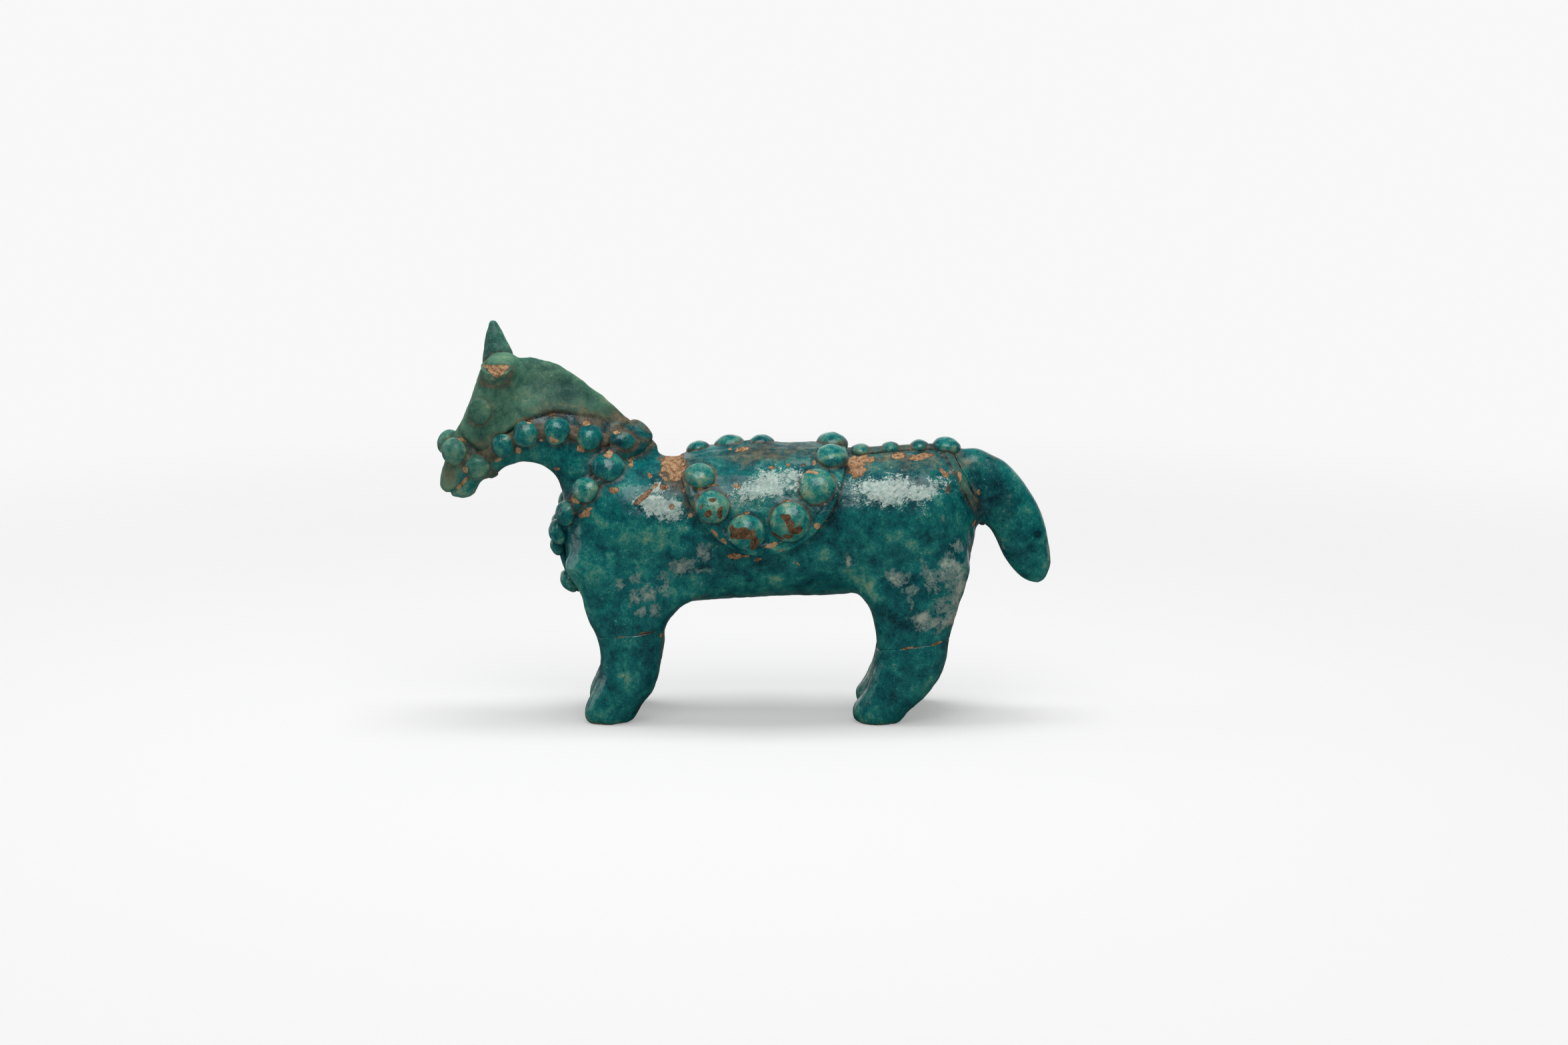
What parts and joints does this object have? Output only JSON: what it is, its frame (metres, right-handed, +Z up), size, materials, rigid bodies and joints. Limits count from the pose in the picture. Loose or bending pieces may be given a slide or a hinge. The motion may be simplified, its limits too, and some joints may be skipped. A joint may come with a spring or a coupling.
{
  "type": "glazed ceramic horse figurine",
  "caption": "Standing horse figurine of glazed stonepaste with an arched neck, round-flapped saddle cloth and beaded harness, for a shelf or display case.",
  "frame": {"origin": "on the standing surface, under the middle of the whole figurine", "axes": "+X towards the tail, the horse looks along -X; +Y towards the horse's right side; +Z up"},
  "size_m": [0.1824, 0.0488, 0.1172],
  "materials": {
    "turquoise_glaze": "glossy deep turquoise glaze, pooled dark in the hollows, worn paler on the high places",
    "pale_glaze": "thin satin glaze, grey-green",
    "bare_clay": "matt unglazed orange-tan stonepaste"
  },
  "bodies": {
    "root": {"trunk": "turquoise_glaze", "lower_foreleg_left": "turquoise_glaze", "lower_foreleg_right": "turquoise_glaze", "lower_hindleg_left": "turquoise_glaze", "lower_hindleg_right": "turquoise_glaze", "neck": "pale_glaze", "head": "pale_glaze", "tail": "turquoise_glaze", "ear_right": "pale_glaze", "ear_stump_left": "bare_clay", "eye_left": "pale_glaze", "eye_right": "pale_glaze", "saddle_cloth": "turquoise_glaze", "noseband": "pale_glaze", "breast_collar": "turquoise_glaze", "rein_left": "turquoise_glaze", "rein_right": "turquoise_glaze", "crupper": "turquoise_glaze", "nose_boss_left": "turquoise_glaze", "nose_boss_right": "turquoise_glaze", "chin_boss_left": "turquoise_glaze", "chin_boss_right": "turquoise_glaze", "rein_boss_left_1": "turquoise_glaze", "rein_boss_left_2": "turquoise_glaze", "rein_boss_left_3": "turquoise_glaze", "rein_boss_left_4": "turquoise_glaze", "rein_boss_left_5": "turquoise_glaze", "rein_boss_right_1": "turquoise_glaze", "rein_boss_right_2": "turquoise_glaze", "rein_boss_right_3": "turquoise_glaze", "rein_boss_right_4": "turquoise_glaze", "rein_boss_right_5": "turquoise_glaze", "collar_boss_left_1": "turquoise_glaze", "collar_boss_left_2": "turquoise_glaze", "collar_boss_left_3": "turquoise_glaze", "collar_boss_left_4": "turquoise_glaze", "collar_boss_right_1": "turquoise_glaze", "collar_boss_right_2": "turquoise_glaze", "collar_boss_right_3": "turquoise_glaze", "collar_boss_right_4": "turquoise_glaze", "collar_boss_front": "turquoise_glaze", "pendant_boss": "turquoise_glaze", "saddle_boss_left_1": "turquoise_glaze", "saddle_boss_left_2": "turquoise_glaze", "saddle_boss_left_3": "turquoise_glaze", "saddle_boss_left_4": "turquoise_glaze", "saddle_boss_left_5": "turquoise_glaze", "saddle_boss_left_6": "turquoise_glaze", "saddle_boss_right_1": "turquoise_glaze", "saddle_boss_right_2": "turquoise_glaze", "saddle_boss_right_3": "turquoise_glaze", "saddle_boss_right_4": "turquoise_glaze", "saddle_boss_ridge_1": "turquoise_glaze", "saddle_boss_ridge_2": "turquoise_glaze", "saddle_boss_ridge_3": "turquoise_glaze", "saddle_boss_ridge_4": "turquoise_glaze", "croup_boss_1": "turquoise_glaze", "croup_boss_2": "turquoise_glaze", "croup_boss_3": "turquoise_glaze", "croup_boss_4": "turquoise_glaze"}
  },
  "joints": []
}
